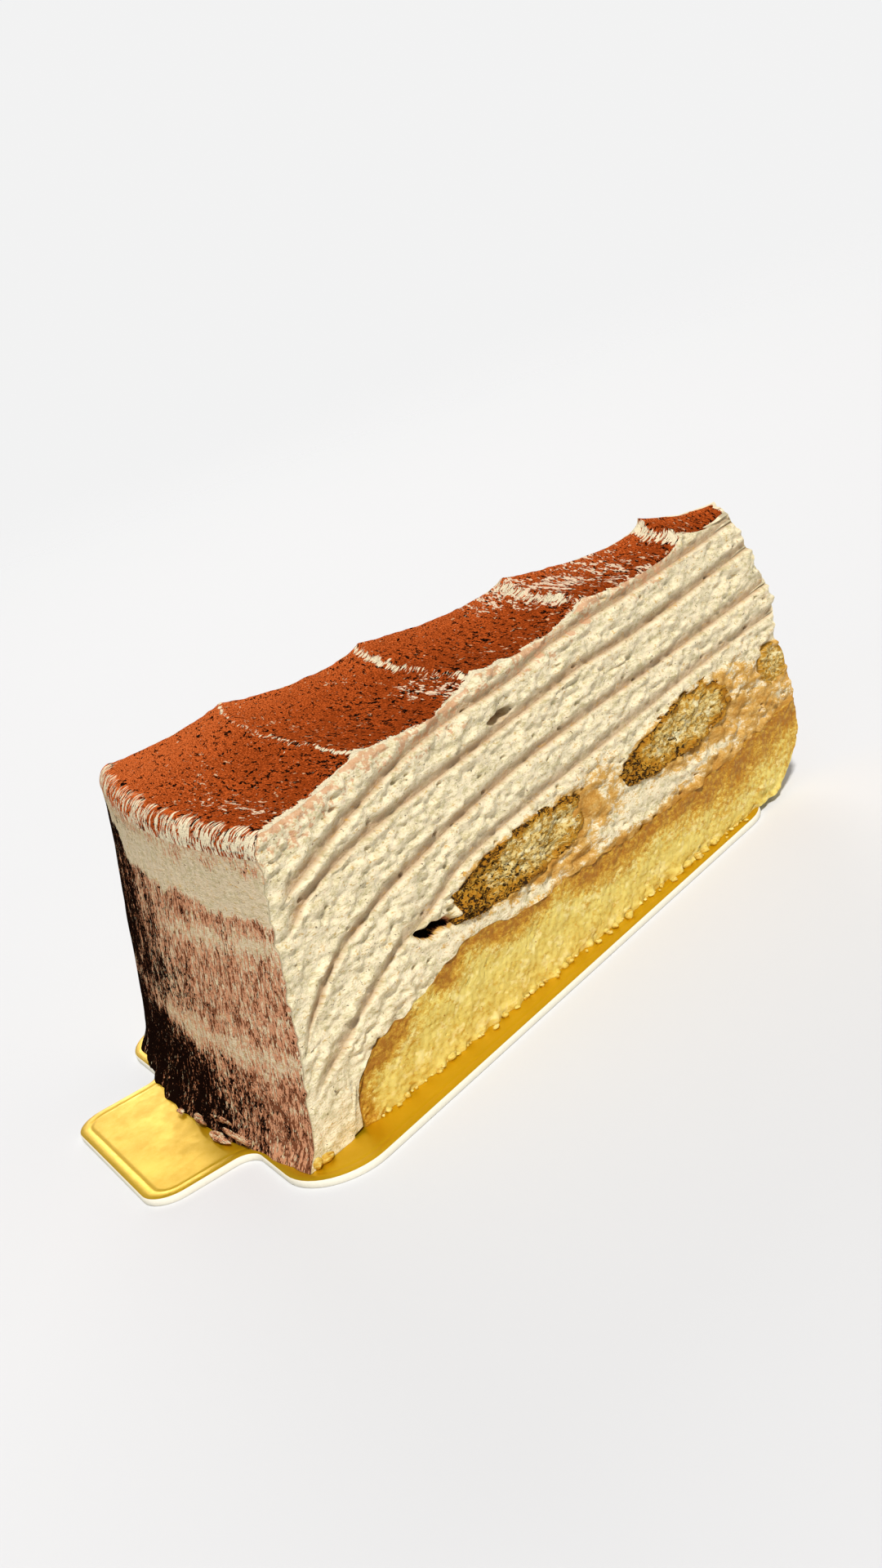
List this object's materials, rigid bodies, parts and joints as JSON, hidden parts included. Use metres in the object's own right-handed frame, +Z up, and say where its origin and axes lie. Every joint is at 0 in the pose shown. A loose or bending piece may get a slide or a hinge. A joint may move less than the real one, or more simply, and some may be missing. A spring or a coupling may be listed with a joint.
{
  "type": "tiramisu slice",
  "caption": "Wedge of tiramisu cake with a combed cocoa top, banded whipped cream, soaked sponge fingers and a sponge base, on a gold card board with a tab.",
  "frame": {"origin": "under the middle of the whole part, on the underside of the board", "axes": "+X towards the slice's tip, -X to its round outer wall and the board's tab, -Y to the near cut face, +Z up"},
  "size_m": [0.1416, 0.0792, 0.054],
  "materials": {
    "gold_card": "gold foil over white card",
    "sponge": "open yellow crumb, soaked darker at its upper edge",
    "finger_crumb": "coffee-soaked crumb, paler in the middle",
    "cream": "whipped, softly pocked where cut",
    "cocoa": "fine dry powder"
  },
  "bodies": {
    "root": {"gold_board": "gold_card", "sponge_base": "sponge", "ladyfinger_1": "finger_crumb", "ladyfinger_2": "finger_crumb", "ladyfinger_3": "finger_crumb", "cream_lower": "cream", "cream_band_3": "cream", "cream_band_2": "cream", "cream_band_1": "cream", "cream_top": "cream", "cocoa_layer": "cocoa"}
  },
  "joints": []
}
